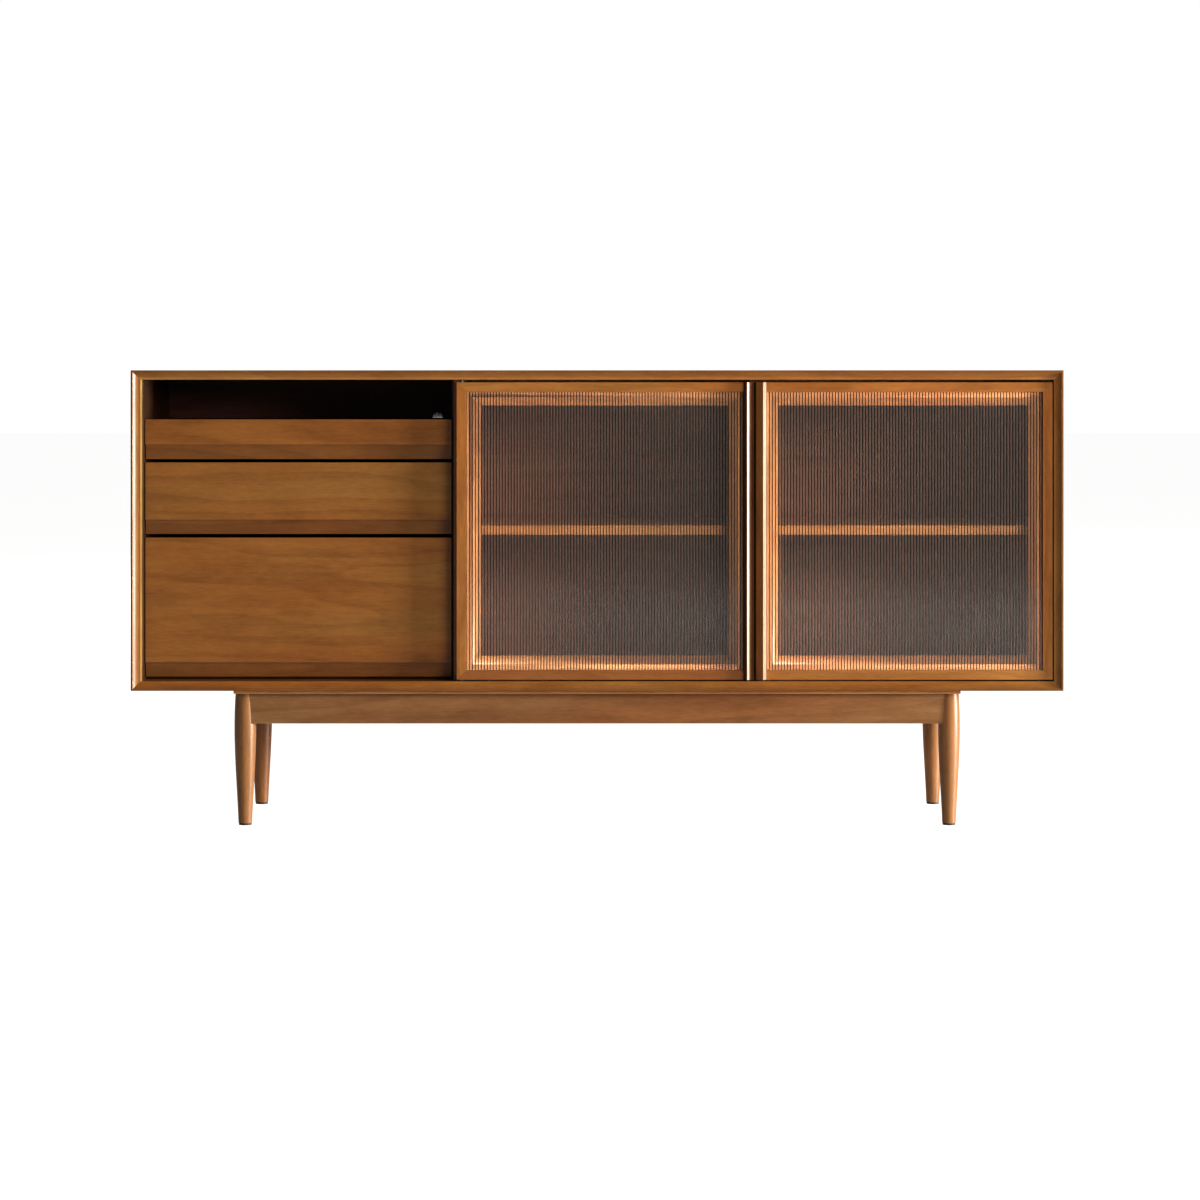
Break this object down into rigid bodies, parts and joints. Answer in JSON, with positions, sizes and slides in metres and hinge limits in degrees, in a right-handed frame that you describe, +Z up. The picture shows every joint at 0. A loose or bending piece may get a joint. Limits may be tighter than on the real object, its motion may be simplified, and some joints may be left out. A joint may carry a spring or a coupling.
{
  "type": "sideboard buffet",
  "caption": "Low wooden sideboard on turned legs, with an open niche over stacked drawers and a pair of reeded-glass doors over shelves.",
  "frame": {"origin": "on the floor under the middle of the box", "axes": "+X to the right seen from the front, +Y to the rear, +Z up"},
  "size_m": [1.6, 0.4, 0.785],
  "materials": {
    "case_wood": "satin lacquered walnut-brown wood",
    "drawer_front_wood": "satin lacquered walnut-brown wood, grain along the length",
    "drawer_box_wood": "clear lacquered lighter wood",
    "door_wood": "satin lacquered walnut-brown wood",
    "base_wood": "satin lacquered walnut-brown wood",
    "back_board": "dark stained thin board",
    "reeded_glass": "vertical reeded, faint brown tint",
    "hinge_steel": "dark bronze finish",
    "zinc_steel": "zinc plated",
    "glide_plastic": "matte"
  },
  "bodies": {
    "cabinet": {"back_panel_left": "back_board", "back_panel_right": "back_board", "base_plate": "base_wood", "bay_liners": "back_board", "bottom_panel": "case_wood", "cabinet_runners": "zinc_steel", "centre_partition": "case_wood", "divider": "case_wood", "door_magnets": "zinc_steel", "front_rail": "base_wood", "left_rail": "base_wood", "left_side": "case_wood", "leg_bolts": "zinc_steel", "leg_front_left": "base_wood", "leg_front_right": "base_wood", "leg_glides": "glide_plastic", "leg_rear_left": "base_wood", "leg_rear_right": "base_wood", "niche_shelf": "case_wood", "pivot_plates": "hinge_steel", "rear_rail": "base_wood", "right_rail": "base_wood", "right_side": "case_wood", "shelf_left": "case_wood", "shelf_pins": "zinc_steel", "shelf_right": "case_wood", "top_panel": "case_wood", "wood_screws": "zinc_steel"},
    "drawer_small": {"drawer_small_back": "drawer_box_wood", "drawer_small_bottom": "drawer_box_wood", "drawer_small_front": "drawer_front_wood", "drawer_small_left_side": "drawer_box_wood", "drawer_small_right_side": "drawer_box_wood", "drawer_small_runners": "zinc_steel"},
    "drawer_medium": {"drawer_medium_back": "drawer_box_wood", "drawer_medium_bottom": "drawer_box_wood", "drawer_medium_front": "drawer_front_wood", "drawer_medium_left_side": "drawer_box_wood", "drawer_medium_right_side": "drawer_box_wood", "drawer_medium_runners": "zinc_steel"},
    "drawer_large": {"drawer_large_back": "drawer_box_wood", "drawer_large_bottom": "drawer_box_wood", "drawer_large_front": "drawer_front_wood", "drawer_large_left_side": "drawer_box_wood", "drawer_large_right_side": "drawer_box_wood", "drawer_large_runners": "zinc_steel"},
    "door_left": {"door_left_bottom_rail": "door_wood", "door_left_fittings": "hinge_steel", "door_left_glass": "reeded_glass", "door_left_hinge_stile": "door_wood", "door_left_meeting_stile": "door_wood", "door_left_moulding": "door_wood", "door_left_top_rail": "door_wood"},
    "door_right": {"door_right_bottom_rail": "door_wood", "door_right_fittings": "hinge_steel", "door_right_glass": "reeded_glass", "door_right_hinge_stile": "door_wood", "door_right_meeting_stile": "door_wood", "door_right_moulding": "door_wood", "door_right_top_rail": "door_wood"}
  },
  "joints": [
    {"name": "drawer_small_slide", "type": "slide", "parent": "cabinet", "child": "drawer_small", "axis": [0, -1, 0], "range_m": [0, 0.245]},
    {"name": "drawer_medium_slide", "type": "slide", "parent": "cabinet", "child": "drawer_medium", "axis": [0, -1, 0], "range_m": [0, 0.245]},
    {"name": "drawer_large_slide", "type": "slide", "parent": "cabinet", "child": "drawer_large", "axis": [0, -1, 0], "range_m": [0, 0.245]},
    {"name": "door_left_hinge", "type": "hinge", "parent": "cabinet", "child": "door_left", "pos_m": [-0.2329, -0.186, 0.509], "axis": [0, 0, -1], "range_deg": [0, 90]},
    {"name": "door_right_hinge", "type": "hinge", "parent": "cabinet", "child": "door_right", "pos_m": [0.7738, -0.186, 0.509], "axis": [0, 0, 1], "range_deg": [0, 90]}
  ]
}
